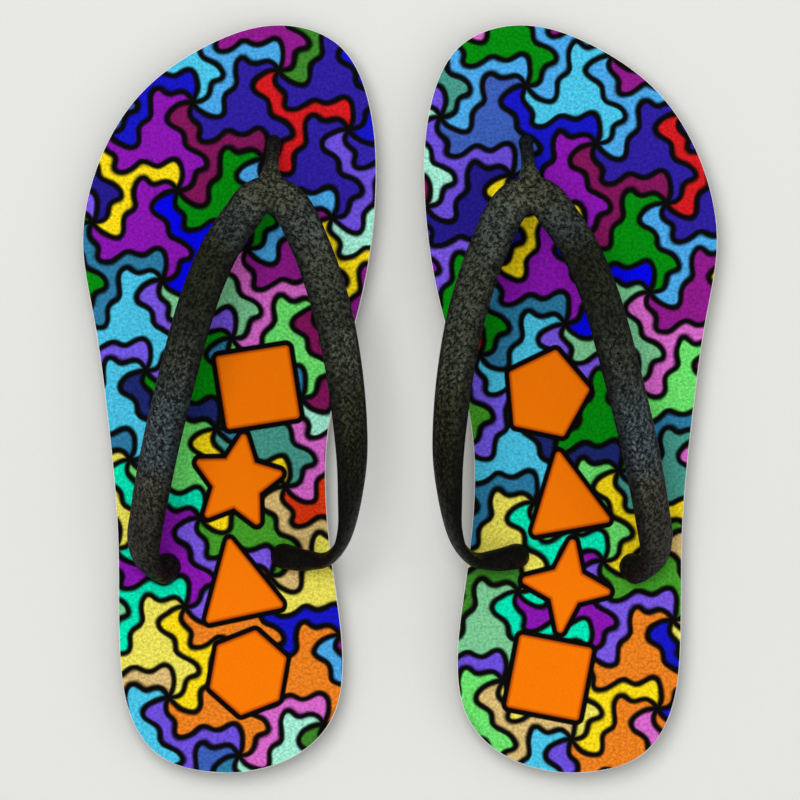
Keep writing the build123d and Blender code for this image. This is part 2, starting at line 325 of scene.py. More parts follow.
def bold_shape(net, point, centre, turn, points, pull, size, width):
    """Distance from a many-pointed shape's rounded edge, negative inside it."""
    sector = 2 * math.pi / points
    size = size - SHAPE_ROUND
    inner = size * math.cos(sector / 2) * pull
    tip = Vector((size, 0.0, 0.0))
    notch = Vector((inner * math.cos(sector / 2), inner * math.sin(sector / 2), 0.0))
    side = notch - tip
    outward = Vector((-side.y, side.x, 0.0)).normalized()
    if outward.dot(tip) < 0:
        outward = -outward
    local = net.vector("SUBTRACT", point, (centre[0], centre[1], 0.0))
    turned = net.node("ShaderNodeVectorRotate", rotation_type="Z_AXIS")
    net.wire(local, turned.inputs["Vector"])
    turned.inputs["Angle"].default_value = -math.radians(turn)
    squeezed = net.vector("MULTIPLY", turned.outputs[0], (1 / width, 1.0, 0.0))
    x, y, _ = net.parts(squeezed)
    folded = net.math("PINGPONG", net.math("ARCTAN2", x, y), sector / 2)
    reach = net.vector("LENGTH", squeezed, output=1)
    corner = net.joined(
        net.math("MULTIPLY", reach, net.math("COSINE", folded)),
        net.math("MULTIPLY", reach, net.math("SINE", folded)),
    )
    from_tip = net.vector("SUBTRACT", corner, tip)
    share = net.vector("DOT_PRODUCT", from_tip, side / side.length_squared, output=1)
    share = net.math("MINIMUM", net.math("MAXIMUM", share, 0.0), 1.0)
    away = net.vector("LENGTH", net.vector("SUBTRACT", from_tip, net.scaled(side, share)), output=1)
    out = net.math("SIGN", net.vector("DOT_PRODUCT", from_tip, outward, output=1))
    return net.math("MULTIPLY_ADD", away, out, -SHAPE_ROUND)


def print_finish(side, axis_x, shapes, shift):
    """The printed cloth: swirls, four bold shapes, ink grain and weave."""
    material, net, shader = finish_named(f"{side}_printed_cloth", roughness=0.85, specular=0.06)
    rest = net.stored("lie")
    plan = net.vector("MULTIPLY", rest, (MM, MM, 0.0))
    plan = net.vector("SUBTRACT", plan, (axis_x * MM, 0.0, 0.0))
    stray = net.noise(plan, STRAY_SCALE, detail=1.0, colour=True)
    stray = net.vector("SUBTRACT", stray, (0.5, 0.5, 0.5))
    drawn = net.vector("ADD", plan, net.scaled(stray, 2 * HAND_DRAWN))
    edge, ink = swirl_pattern(net, net.vector("ADD", drawn, (*shift, 0.0)))
    inked = net.ramp(edge, OUTLINE_HALF - OUTLINE_SOFT, OUTLINE_HALF + OUTLINE_SOFT)
    colour = net.mix(net.math("POWER", inked, OUTLINE_FALL), linear(*OUTLINE_INK), ink)
    grain = net.noise(plan, GRAIN_SCALE, detail=3.0, rough=0.65)
    fine = net.noise(plan, FINE_GRAIN_SCALE, detail=2.0, rough=0.6)
    mottle = net.math(
        "ADD",
        net.ramp(grain, *NOISE_SPAN, *GRAIN_TONES, smooth=False),
        net.ramp(fine, *NOISE_SPAN, *FINE_GRAIN_TONES, smooth=False),
    )
    tone = net.node("ShaderNodeCombineColor")
    for socket in tone.inputs:
        if socket.name in ("Red", "Green", "Blue"):
            net.wire(mottle, socket)
    colour = net.mix(1.0, colour, tone.outputs[0], blend="MULTIPLY")
    for shape in shapes:
        away = bold_shape(net, plan, *shape)
        shaded = net.ramp(away, -SHAPE_SHADE_WIDTH, 0.0)
        face = net.mix(shaded, linear(*SHAPE_INK), linear(*SHAPE_SHADE))
        outlined = net.ramp(away, -SHAPE_OUTLINE_SOFT, SHAPE_OUTLINE_SOFT)
        face = net.mix(outlined, face, linear(*SHAPE_OUTLINE_INK))
        beyond = net.ramp(away, *(SHAPE_OUTLINE + fade for fade in SHAPE_OUTLINE_FADE))
        colour = net.mix(beyond, face, colour)
    height = net.parts(net.scaled(rest, MM))[2]
    dyed = net.ramp(height, SOLE_TOP_MM - DYE_DEPTH, SOLE_TOP_MM - DYE_DEPTH / 2)
    colour = net.mix(dyed, linear(*UNDYED_CLOTH), colour)
    net.wire(colour, shader.inputs["Base Color"])
    weave = weave_height(net, plan)
    uneven = net.bump(grain, distance=0.0002, strength=0.35)
    woven = net.bump(weave, distance=0.00012, strength=0.6, normal=uneven)
    net.wire(woven, shader.inputs["Normal"])
    return material


def weave_height(net, plan):
    """Over-and-under threads."""
    x, y, _ = net.parts(plan)
    across = net.math("SINE", net.math("MULTIPLY", x, 2 * math.pi / THREAD_PITCH))
    along = net.math("SINE", net.math("MULTIPLY", y, 2 * math.pi / THREAD_PITCH))
    return net.math("MULTIPLY", across, along)


# ---- the plain finishes -----------------------------------------------------------------------------
def place_mm(net):
    """The piece's own coordinates in millimetres."""
    place = net.node("ShaderNodeTexCoord").outputs["Object"]
    return net.scaled(place, MM)


PORE_SCALE = 1.6
PORE_SPAN = (0.35, 0.62)
FOAM_PORE = (222, 222, 216)
FOAM_FACE = (243, 243, 240)
PATCH_SCALE = 0.05
PATCH_SHARE = 0.35  # how far the broad patches go to the yellowed colour
FOAM_YELLOWED = (228, 226, 215)


def foam_finish():
    """White foam with fine pores, a little yellowed in broad patches."""
    material, net, shader = finish_named("white_foam", roughness=0.85, specular=0.3)
    place = place_mm(net)
    pores = net.noise(place, PORE_SCALE, detail=3.0, rough=0.6)
    broad = net.noise(place, PATCH_SCALE, detail=2.0)
    colour = net.mix(net.ramp(pores, *PORE_SPAN), linear(*FOAM_PORE), linear(*FOAM_FACE))
    yellowed = net.ramp(broad, *NOISE_SPAN, 0.0, PATCH_SHARE)
    colour = net.mix(yellowed, colour, linear(*FOAM_YELLOWED))
    net.wire(colour, shader.inputs["Base Color"])
    net.wire(net.bump(pores, distance=0.0003, strength=0.5), shader.inputs["Normal"])
    return material


SPONGE_SCALE = 1.1
SPONGE_SPAN = (0.35, 0.7)
SPONGE_DARK = (25, 25, 26)
SPONGE_PALE = (44, 43, 42)
DUST_SCALE = 0.08
DUST_SPAN = (0.5, 0.75)
DUST_SHARE = 0.3  # how far the dust covers the rubber where it lies thickest
DUST = (84, 80, 73)


def outsole_finish():
    """Black sponge rubber with grain and a little dust."""
    material, net, shader = finish_named("black_sponge_rubber", roughness=0.78, specular=0.35)
    place = place_mm(net)
    grain = net.noise(place, SPONGE_SCALE, detail=3.0, rough=0.6)
    dust = net.noise(place, DUST_SCALE, detail=4.0, rough=0.65)
    colour = net.mix(net.ramp(grain, *SPONGE_SPAN), linear(*SPONGE_DARK), linear(*SPONGE_PALE))
    dusty = net.ramp(dust, *DUST_SPAN, 0.0, DUST_SHARE)
    colour = net.mix(dusty, colour, linear(*DUST))
    net.wire(colour, shader.inputs["Base Color"])
    net.wire(net.bump(grain, distance=0.0003, strength=0.6), shader.inputs["Normal"])
    return material


SPECK_SCALE = 0.7
SPECK_SPAN = (0.40, 0.61)
SPECK_TONE = 1.6  # what the specks add to the rubber's brightness where they are strongest
FINE_SPECK_SCALE = 1.9
FINE_SPECK_SPAN = (0.40, 0.60)
FINE_SPECK_TONE = 0.85
MOTTLE_CONTRAST = 1.5
MOTTLE_LEVEL = 0.88  # brings the mottled rubber back to the brightness of its plain tones
CLOUD_SCALE = 0.09
CLOUD_TONES = (0.8, 1.2)
STRAP_PAINTED_SHADE = 0.25  # painted shade: the brightness left at the band's two edges and at its underside
RIM_SPAN = (0.5, 1.0)  # where the painted edge shade comes in, in half widths from the band's middle
UNDERSIDE_SPAN = (-0.1, 0.25)  # the painted underside shade fades out over this, in thicknesses from the section's centre
STRAP_ROUGHNESS = (0.7, 0.45)
RIB_PAINTED_HIGHLIGHT = 1.7  # painted highlight: the ribs are painted this much paler than the band, as if they caught the light


def strap_finish(name, painted_highlight=1.0):
    """Charcoal moulded rubber: mottled, with painted shade at the band's two edges and on its underside,
    and painted sheen and shade in its tones along the band.
    """
    material, net, shader = finish_named(name, roughness=0.55, specular=0.08)
    place = place_mm(net)
    along, across, up = net.parts(net.stored("band"))
    # The colour along the band: the rubber's own charcoal, with painted sheen and painted shade in it.
    stops = [(reach / STRAP_TONES_END, colour) for reach, colour in STRAP_TONES]
    tone = net.tones(net.math("DIVIDE", along, STRAP_TONES_END), stops, "EASE")
    speck = net.noise(place, SPECK_SCALE, detail=2.0, rough=0.55)
    fine = net.noise(place, FINE_SPECK_SCALE, detail=2.0, rough=0.6)
    cloud = net.noise(place, CLOUD_SCALE, detail=2.0)
    mottle = net.math(
        "ADD",
        net.ramp(speck, *SPECK_SPAN, 0.0, SPECK_TONE, smooth=False),
        net.ramp(fine, *FINE_SPECK_SPAN, 0.0, FINE_SPECK_TONE, smooth=False),
    )
    mottle = net.math("MULTIPLY", net.math("POWER", mottle, MOTTLE_CONTRAST), MOTTLE_LEVEL)
    mottle = net.math("MULTIPLY", mottle, net.ramp(cloud, *NOISE_SPAN, *CLOUD_TONES, smooth=False))
    # Painted shade: the band is darker towards its two edges and on its underside, as a rounded band looks
    # in light from above.
    rim = net.ramp(net.math("ABSOLUTE", across), *RIM_SPAN, 1.0, STRAP_PAINTED_SHADE)
    under = net.ramp(up, *UNDERSIDE_SPAN, STRAP_PAINTED_SHADE, 1.0)
    mottle = net.math("MULTIPLY", mottle, net.math("MINIMUM", rim, under))
    # Painted highlight: the ribs' copy of this finish is painted paler by this share.
    mottle = net.math("MULTIPLY", mottle, painted_highlight)
    net.wire(net.scaled(tone, mottle), shader.inputs["Base Color"])
    net.wire(net.ramp(speck, *NOISE_SPAN, *STRAP_ROUGHNESS), shader.inputs["Roughness"])
    uneven = net.bump(fine, distance=0.0002, strength=0.4)
    net.wire(net.bump(speck, distance=0.0004, strength=0.5, normal=uneven), shader.inputs["Normal"])
    return material


def floor_finish():
    """A plain pale floor."""
    material, net, shader = finish_named("pale_floor", roughness=0.9, specular=0.2)
    shader.inputs["Base Color"].default_value = linear(226, 226, 223)
    return material


# ---- sole layers ------------------------------------------------------------------------------------
# The sole bends behind the strap's side holes. The bend starts a little ahead of the pivot line.
PIVOT_Y = -0.076
BEND_START_Y = PIVOT_Y + 0.006
BEND_LENGTH = 0.036
BEND_LOOP_STEP = 0.002
CUT_HALF_GAP = 0.00016  # the two halves of a layer end within this of the pivot line
CUT_MERGE = 6e-5  # corners of the two ends that lie closer than this become one
SAME_POINT = 1e-6
LOOPS_MORE = 3  # loops at the bend's end and past it
LAYER_SHARP_ANGLE = 16.0  # the small rounded edges stay crisp, so that the long walls shade evenly


def whole_layer(side, layer, finish):
    """One sheet from a layer's two frame halves, with loops across the bend so that it can curve."""
    mesh = bmesh.new()
    for half in ("front", "heel"):
        mesh.from_mesh(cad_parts[f"{side}_{layer}_{half}"].data)
    bmesh.ops.remove_doubles(mesh, verts=mesh.verts, dist=SAME_POINT)
    ends = [f for f in mesh.faces if all(abs(v.co.y - PIVOT_Y) < CUT_HALF_GAP for v in f.verts)]
    bmesh.ops.delete(mesh, geom=ends, context="FACES")
    at_cut = [v for v in mesh.verts if abs(v.co.y - PIVOT_Y) < CUT_HALF_GAP]
    for v in at_cut:
        v.co.y = PIVOT_Y
    bmesh.ops.remove_doubles(mesh, verts=at_cut, dist=CUT_MERGE)
    bmesh.ops.holes_fill(mesh, edges=[e for e in mesh.edges if e.is_boundary])
    bmesh.ops.dissolve_degenerate(mesh, edges=mesh.edges[:], dist=SAME_POINT)
    loops = int(BEND_LENGTH / BEND_LOOP_STEP) + LOOPS_MORE
    for i in range(loops):
        place = (0, BEND_START_Y - i * BEND_LOOP_STEP, 0)
        whole = mesh.verts[:] + mesh.edges[:] + mesh.faces[:]
        bmesh.ops.bisect_plane(mesh, geom=whole, dist=SAME_POINT, plane_co=place, plane_no=(0, 1, 0))
    data = bpy.data.meshes.new(f"{side}_{layer}")
    mesh.to_mesh(data)
    mesh.free()
    piece = bpy.data.objects.new(f"{side}_{layer}", data)
    scene.collection.objects.link(piece)
    data.materials.append(finish)
    # The print reads where each corner lies at rest, so that it bends with the cloth.
    lie = data.attributes.new("lie", "FLOAT_VECTOR", "POINT")
    places = np.empty(len(data.vertices) * 3, np.float32)
    data.vertices.foreach_get("co", places)
    lie.data.foreach_set("vector", places)
    data.shade_smooth()
    data.set_sharp_from_angle(angle=math.radians(LAYER_SHARP_ANGLE))
    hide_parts(f"{side}_{layer}_front", f"{side}_{layer}_heel")
    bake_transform(piece)
    return piece


# ---- the strap --------------------------------------------------------------------------------------
# All in millimetres, in a right sandal's own frame: X to the little toe, Y to the toes, Z up. A station
# has its centre from the hole it rises from and over the cloth, its width and thickness as shares of
# the band's, and the way its outer face looks. The first and last of a run only steer the curve.
TOE_HOLE = (-15.7, 95.7)
OUTER_HOLE = (23.9, -62.4)
INNER_HOLE = (-19.1, -58.7)
BAND_WIDTH = 17.4
BAND_THICKNESS = 3.8
OUTER_ARM = [
    (0.0, 0.0, -7.0, 0.55, 2.40, 0.85, -0.50, 0.00),
    (0.0, 0.0, -1.5, 0.56, 2.50, 0.85, -0.50, 0.00),
    (0.8, -0.7, 2.0, 0.60, 2.60, 0.80, -0.55, 0.10),
    (3.6, -1.7, 5.2, 0.74, 2.10, 0.76, -0.52, 0.38),
    (7.3, 1.2, 9.4, 0.90, 1.50, 0.74, -0.36, 0.56),
    (8.7, 8.4, 14.6, 0.99, 1.12, 0.71, -0.22, 0.66),
    (7.4, 17.0, 20.9, 1.00, 1.00, 0.68, -0.12, 0.72),
    (5.0, 30.0, 27.4, 1.00, 1.00, 0.65, -0.05, 0.76),
    (1.2, 48.0, 32.2, 1.00, 1.00, 0.62, 0.00, 0.79),
    (-4.2, 70.0, 33.9, 1.00, 1.00, 0.59, 0.05, 0.81),
    (-9.6, 90.5, 33.2, 1.00, 1.00, 0.56, 0.12, 0.82),
    (-14.0, 104.0, 31.4, 0.99, 1.00, 0.52, 0.20, 0.83),
    (-18.4, 114.6, 29.2, 0.97, 1.00, 0.46, 0.26, 0.85),
    (-23.0, 123.0, 27.0, 0.94, 1.00, 0.38, 0.30, 0.88),
    (-28.1, 130.4, 24.9, 0.90, 1.00, 0.26, 0.34, 0.90),
    (-32.6, 136.2, 23.7, 0.87, 1.02, 0.13, 0.36, 0.92),
]
YOKE_CROWN = [(1.2, -19.9, 23.2, 0.86, 1.04, 0.00, 0.37, 0.93)]
INNER_ARM = [
    (-1.1, 132.3, 23.8, 0.87, 1.02, -0.13, 0.36, 0.92),
    (-5.5, 126.6, 25.2, 0.90, 1.00, -0.26, 0.33, 0.90),
    (-9.1, 118.8, 27.7, 0.94, 1.00, -0.40, 0.28, 0.87),
    (-12.5, 110.6, 30.5, 0.97, 1.00, -0.48, 0.22, 0.84),
    (-15.5, 102.0, 33.1, 0.99, 1.00, -0.53, 0.17, 0.83),
    (-19.1, 89.6, 36.2, 1.00, 1.00, -0.58, 0.10, 0.81),
    (-22.5, 72.4, 38.9, 1.00, 1.00, -0.64, 0.05, 0.77),
    (-24.8, 54.4, 39.6, 1.00, 1.00, -0.70, 0.00, 0.71),
    (-25.9, 37.4, 37.2, 1.00, 1.00, -0.78, -0.05, 0.62),
    (-25.4, 23.6, 32.0, 0.98, 1.02, -0.85, -0.12, 0.50),
    (-24.2, 13.4, 25.0, 0.92, 1.08, -0.90, -0.22, 0.34),
    (-21.4, 5.0, 17.4, 0.80, 1.14, -0.84, -0.44, 0.16),
    (-15.8, -0.8, 10.6, 0.66, 1.40, -0.66, -0.66, 0.16),
    (-8.4, -1.5, 6.8, 0.60, 2.10, -0.40, -0.80, 0.35),
    (-1.8, -0.4, 3.6, 0.57, 2.45, 0.00, -0.97, 0.20),
    (0.0, 0.0, -1.5, 0.56, 2.50, 0.00, -1.00, 0.00),
    (0.0, 0.0, -7.0, 0.55, 2.40, 0.00, -1.00, 0.00),
]
TOE_POST = [
    (1.3, -23.0, 23.0, 0.70, 0.60, 0.00, 0.37, 0.93),
    (1.2, -17.8, 22.6, 0.64, 0.86, 0.00, 0.40, 0.91),
    (1.0, -13.6, 20.6, 0.50, 1.10, 0.00, 0.55, 0.83),
    (0.8, -10.0, 17.2, 0.33, 1.26, 0.00, 0.72, 0.69),
    (0.5, -6.0, 11.8, 0.29, 1.31, 0.00, 0.87, 0.50),
    (0.2, -2.6, 5.8, 0.29, 1.32, 0.00, 0.97, 0.24),
    (0.0, -0.4, 1.8, 0.31, 1.40, 0.00, 1.00, 0.10),
    (0.0, 0.0, -1.5, 0.32, 1.46, 0.00, 1.00, 0.00),
    (0.0, 0.0, -7.0, 0.32, 1.46, 0.00, 1.00, 0.00),
]
# The section's two sides as curve poles: (across, up), in half widths and in thicknesses.
FLAT_CROWN = [(-1, 0), (-1, 0.42), (-0.62, 0.85), (0.62, 0.85), (1, 0.42), (1, 0)]
FLAT_UNDERSIDE = [(1, 0), (1, -0.30), (0.8, -0.39), (-0.8, -0.39), (-1, -0.30), (-1, 0)]
ROUND_CROWN = [(-1, 0), (-1, 0.4), (-0.4, 0.6), (0.4, 0.6), (1, 0.4), (1, 0)]
ROUND_UNDERSIDE = [(1, 0), (1, -0.4), (0.4, -0.6), (-0.4, -0.6), (-1, -0.4), (-1, 0)]
# A section is flat up to this share of the band's thickness, and fully round from the second one on.
ROUND_FROM = 1.1
ROUND_AT = 1.8
CUTS = 12  # sections worked out for each station
TREND = 6  # sections to each side that set which way a section faces
CROWN_POINTS = 26
UNDER_POINTS = 14
CROWN_SAMPLES = 60


def placed(stations, hole):
    """Stations measured from a hole, set in the sandal's frame and in millimetres."""
    rows = np.array(stations, float)
    rows[:, 0:3] += (*hole, SOLE_TOP_MM)
    rows[:, 3] *= BAND_WIDTH
    rows[:, 4] *= BAND_THICKNESS
    return rows


def close_run(rows):
    """The smooth run from the second station to the last but one. The end rows only steer it."""
    run = []
    for before, start, end, after in zip(rows, rows[1:], rows[2:], rows[3:]):
        for t in np.arange(CUTS) / CUTS:
            run.append(
                0.5
                * (
                    2 * start
                    + (end - before) * t
                    + (2 * before - 5 * start + 4 * end - after) * t**2
                    + (3 * start - before - 3 * end + after) * t**3
                )
            )
    return np.array([*run, rows[-2]])


class Run:
    """One limb of the strap: its centre line and, at each section, the ways across, up and along."""

    def __init__(self, rows):
        self.rows = close_run(rows)
        centres = self.rows[:, :3]
        lead = [centres[0] + (rows[0, :3] - rows[1, :3]) * k / CUTS for k in range(TREND, 0, -1)]
        tail = [centres[-1] + (rows[-1, :3] - rows[-2, :3]) * k / CUTS for k in range(1, TREND + 1)]
        longer = np.vstack([lead, centres, tail])
        along = longer[2 * TREND :] - longer[: -2 * TREND]
        self.along = along / np.linalg.norm(along, axis=1)[:, None]
        across = np.cross(self.rows[:, 5:8], self.along)
        self.across = across / np.linalg.norm(across, axis=1)[:, None]
        self.up = np.cross(self.along, self.across)
        self.centres = centres
        steps = np.linalg.norm(np.diff(centres, axis=0), axis=1)
        self.length = np.concatenate([[0.0], np.cumsum(steps)])

    def outline(self, i):
        """The section's outline as (across, up) pairs, crown first."""
        width, thickness = self.rows[i, 3:5]
        share = (thickness / BAND_THICKNESS - ROUND_FROM) / (ROUND_AT - ROUND_FROM)
        share = min(max(share, 0.0), 1.0)
        sides = []
        for flat, curved, count in (
            (FLAT_CROWN, ROUND_CROWN, CROWN_POINTS),
            (FLAT_UNDERSIDE, ROUND_UNDERSIDE, UNDER_POINTS),
        ):
            poles = np.array(flat, float) * (1 - share) + np.array(curved, float) * share
            t = (1 - np.cos(np.linspace(0, math.pi, count + 1))) / 2
            sides.append(curve_through(poles, t)[:-1])
        return np.vstack(sides) * (width / 2, thickness)

    def shell(self):
        """Corners and faces of the limb, closed at both ends."""
        corners, faces = [], []
        size = CROWN_POINTS + UNDER_POINTS
        for i in range(len(self.rows)):
            flat = self.outline(i)
            corners.append(self.centres[i] + flat[:, :1] * self.across[i] + flat[:, 1:] * self.up[i])
            if i:
                for j in range(size):
                    k = (j + 1) % size
                    a, b = (i - 1) * size, i * size
                    faces.append((a + j, a + k, b + k, b + j))
        faces.append(tuple(range(size))[::-1])
        last = (len(self.rows) - 1) * size
        faces.append(tuple(last + j for j in range(size)))
        return np.vstack(corners), faces


def curve_through(poles, t):
    """Points on the smooth curve that the poles steer."""
    degree = len(poles) - 1
    return sum(
        math.comb(degree, i) * (t**i * (1 - t) ** (degree - i))[:, None] * pole
        for i, pole in enumerate(poles)
    )


FOOT_CLEARANCE = 0.1
TRIM_REACH = 1e-5
SHAFT_RISE = 0.7
PLUG_RADIUS = 8.5
PLUG_THICKNESS = 2.4
PLUG_EDGE_RADIUS = 0.8
PLUG_EDGE_STEPS = 4
PLUG_BOTTOM = 0.6
POST_RADIUS = 2.5
NECK_RADIUS = 4.0
TURN_STEPS = 48


def plug_shell(hole, radius):
    """The shaft through the sole and its flat head, turned round the hole's axis."""
    top = SOLE_TOP_MM + SHAFT_RISE
    head_top = PLUG_BOTTOM + PLUG_THICKNESS
    profile = []
    for step in range(PLUG_EDGE_STEPS + 1):
        angle = math.pi / 2 * step / PLUG_EDGE_STEPS
        profile.append(
            (
                PLUG_RADIUS - PLUG_EDGE_RADIUS * (1 - math.sin(angle)),
                PLUG_BOTTOM + PLUG_EDGE_RADIUS * (1 - math.cos(angle)),
            )
        )
    profile += [(PLUG_RADIUS, head_top), (radius, head_top), (radius, top)]
    corners, faces = [], []
    for i in range(TURN_STEPS):
        angle = 2 * math.pi * i / TURN_STEPS
        for r, z in profile:
            corners.append((hole[0] + r * math.cos(angle), hole[1] + r * math.sin(angle), z))
    size = len(profile)
    for i in range(TURN_STEPS):
        a, b = i * size, (i + 1) % TURN_STEPS * size
        for j in range(size - 1):
            faces.append((a + j, b + j, b + j + 1, a + j + 1))
    faces.append(tuple(i * size for i in range(TURN_STEPS))[::-1])
    faces.append(tuple(i * size + size - 1 for i in range(TURN_STEPS)))
    return np.array(corners), faces


def shell_object(name, corners, faces, trim=False):
    """A closed shell as an object, in metres, trimmed flat just over the cloth if asked."""
    mesh = bmesh.new()
    verts = [mesh.verts.new(c) for c in corners]
    for f in faces:
        mesh.faces.new([verts[i] for i in f])
    if trim:
        level = SOLE_TOP_MM + FOOT_CLEARANCE
        whole = mesh.verts[:] + mesh.edges[:] + mesh.faces[:]
        cut = bmesh.ops.bisect_plane(
            mesh, geom=whole, dist=TRIM_REACH, plane_co=(0, 0, level), plane_no=(0, 0, 1), clear_inner=True
        )
        rim = [e for e in cut["geom_cut"] if isinstance(e, bmesh.types.BMEdge)]
        bmesh.ops.edgeloop_fill(mesh, edges=rim)
    bmesh.ops.recalc_face_normals(mesh, faces=mesh.faces[:])
    bmesh.ops.scale(mesh, verts=mesh.verts[:], vec=(1 / MM, 1 / MM, 1 / MM))
    data = bpy.data.meshes.new(name)
    mesh.to_mesh(data)
    mesh.free()
    made = bpy.data.objects.new(name, data)
    scene.collection.objects.link(made)
    return made


def strap_mesh(band, post):
    """The whole moulded strap of a right sandal, as one closed skin in its own frame."""
    whole = shell_object("band", *band.shell(), trim=True)
    others = [shell_object("post", *post.shell(), trim=True)]
    for hole, radius in ((TOE_HOLE, POST_RADIUS), (OUTER_HOLE, NECK_RADIUS), (INNER_HOLE, NECK_RADIUS)):
        others.append(shell_object("plug", *plug_shell(hole, radius)))
    for other in others:
        union = whole.modifiers.new("join", "BOOLEAN")
        union.operation = "UNION"
        union.solver = "EXACT"
        union.object = other
    joined = bpy.data.meshes.new_from_object(whole.evaluated_get(bpy.context.evaluated_depsgraph_get()))
    for made in (whole, *others):
        bpy.data.objects.remove(made)
    return joined


def band_places(mesh, band, post):
    """For each corner, its length along the limb, and how far across and up it is in the band.

    The post gets no painted shade at edges or underside, so there a corner counts as amid and on top.
    """
    points = np.empty(len(mesh.vertices) * 3)
    mesh.vertices.foreach_get("co", points)
    points = points.reshape(-1, 3) * MM
    out = np.zeros_like(points)
    best = np.full(len(points), np.inf)
    for limb, offset in ((band, 0.0), (post, POST_TONES_FROM)):
        for i in range(len(limb.rows)):
            width, thickness = limb.rows[i, 3:5]
            gap = points - limb.centres[i]
            near = (gap**2).sum(1) / width**2
            closer = near < best
            best[closer] = near[closer]
            out[closer, 0] = offset + limb.length[i]
            if limb is band:
                out[closer, 1] = (gap[closer] @ limb.across[i]) / (width / 2)
                out[closer, 2] = (gap[closer] @ limb.up[i]) / thickness
            else:
                out[closer, 1:] = 0, 1
    return out


STRAP_SHARP_ANGLE = 50.0


def strap_piece(name, side, skin, places, finish):
    """One side's strap or ribs from the right sandal's, mirrored for the left one."""
    mesh = skin.copy()
    mesh.name = name
    turn = -1.0 if side == "left" else 1.0
    points = np.empty(len(mesh.vertices) * 3)
    mesh.vertices.foreach_get("co", points)
    points = points.reshape(-1, 3)
    points[:, 0] = turn * (points[:, 0] + SIDE_AXIS)
    mesh.vertices.foreach_set("co", points.ravel())
    if side == "left":
        mesh.flip_normals()
    store = mesh.attributes.new("band", "FLOAT_VECTOR", "POINT")
    store.data.foreach_set("vector", places.astype(np.float32).ravel())
    mesh.materials.clear()
    mesh.materials.append(finish)
    mesh.shade_smooth()
    mesh.set_sharp_from_angle(angle=math.radians(STRAP_SHARP_ANGLE))
    piece = bpy.data.objects.new(name, mesh)
    scene.collection.objects.link(piece)
    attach(piece, f"{side}_front")
    return piece


# ---- the strap's herringbone ribs -------------------------------------------------------------------
RIB_COLUMNS = 4
RIB_COLUMN_PITCH = 3.0
RIB_ROW_PITCH = 2.6
RIB_LENGTH = 4.0
RIB_WIDTH = 1.1
RIB_HEIGHT = 0.22
RIB_SINK = 0.02
RIB_SLANT = 38.0
RIB_LEAST = 0.05  # ribs that rise to less than this share of their height are left out
# Where the ribs lie along the band: they rise over the first length, and fade out over the last.
RIB_ZONES = [(38.0, 56.0, 88.0, 112.0), (230.0, 254.0, 286.0, 304.0)]
RIB_INPUTS = [
    ("Field Length", "NodeSocketFloat", 100.0),
    ("Rows", "NodeSocketInt", 40),
    ("Row Pitch", "NodeSocketFloat", RIB_ROW_PITCH),
    ("Columns", "NodeSocketInt", RIB_COLUMNS),
    ("Field Width", "NodeSocketFloat", RIB_COLUMN_PITCH * (RIB_COLUMNS - 1)),
    ("Rib Size", "NodeSocketVector", (RIB_LENGTH / 2, RIB_WIDTH / 2, RIB_HEIGHT)),
    ("Slant", "NodeSocketFloat", math.radians(RIB_SLANT)),
]


def rib_field_tree():
    """Short slanted ribs in rows and columns on the flat, each column slanted against the last."""
    tree = bpy.data.node_groups.new("herringbone_ribs", "GeometryNodeTree")
    for name, kind, value in RIB_INPUTS:
        tree.interface.new_socket(name, in_out="INPUT", socket_type=kind).default_value = value
    tree.interface.new_socket("Rib Rubber", in_out="INPUT", socket_type="NodeSocketMaterial")
    tree.interface.new_socket("Geometry", in_out="OUTPUT", socket_type="NodeSocketGeometry")
    net = Net(tree)
    given = net.node("NodeGroupInput").outputs
    field = net.node("GeometryNodeMeshGrid")
    net.wire(given["Field Length"], field.inputs["Size X"])
    net.wire(given["Field Width"], field.inputs["Size Y"])
    net.wire(given["Rows"], field.inputs["Vertices X"])
    net.wire(given["Columns"], field.inputs["Vertices Y"])
    index = net.node("GeometryNodeInputIndex").outputs[0]
    column = net.math("FLOORED_MODULO", index, given["Columns"])
    odd = net.math("FLOORED_MODULO", column, 2.0)
    half_row = net.math("MULTIPLY", given["Row Pitch"], 0.5)
    moved = net.node("GeometryNodeSetPosition")
    net.wire(field.outputs["Mesh"], moved.inputs["Geometry"])
    net.wire(net.joined(net.math("MULTIPLY", odd, half_row)), moved.inputs["Offset"])
    rib = net.node("GeometryNodeMeshUVSphere")
    rib.inputs["Segments"].default_value = 8
    rib.inputs["Rings"].default_value = 4
    rib.inputs["Radius"].default_value = 1.0
    way = net.math("MULTIPLY_ADD", odd, 2.0, -1.0)
    turn = net.joined(0.0, 0.0, net.math("MULTIPLY", way, given["Slant"]))
    rows = net.node("GeometryNodeInstanceOnPoints")
    net.wire(moved.outputs[0], rows.inputs["Points"])
    net.wire(rib.outputs["Mesh"], rows.inputs["Instance"])
    net.wire(turn, rows.inputs["Rotation"])
    net.wire(given["Rib Size"], rows.inputs["Scale"])
    real = net.node("GeometryNodeRealizeInstances")
    net.wire(rows.outputs[0], real.inputs[0])
    finish = net.node("GeometryNodeSetMaterial")
    net.wire(real.outputs[0], finish.inputs["Geometry"])
    net.wire(given["Rib Rubber"], finish.inputs["Material"])
    net.wire(finish.outputs[0], net.node("NodeGroupOutput").inputs["Geometry"])
    return tree


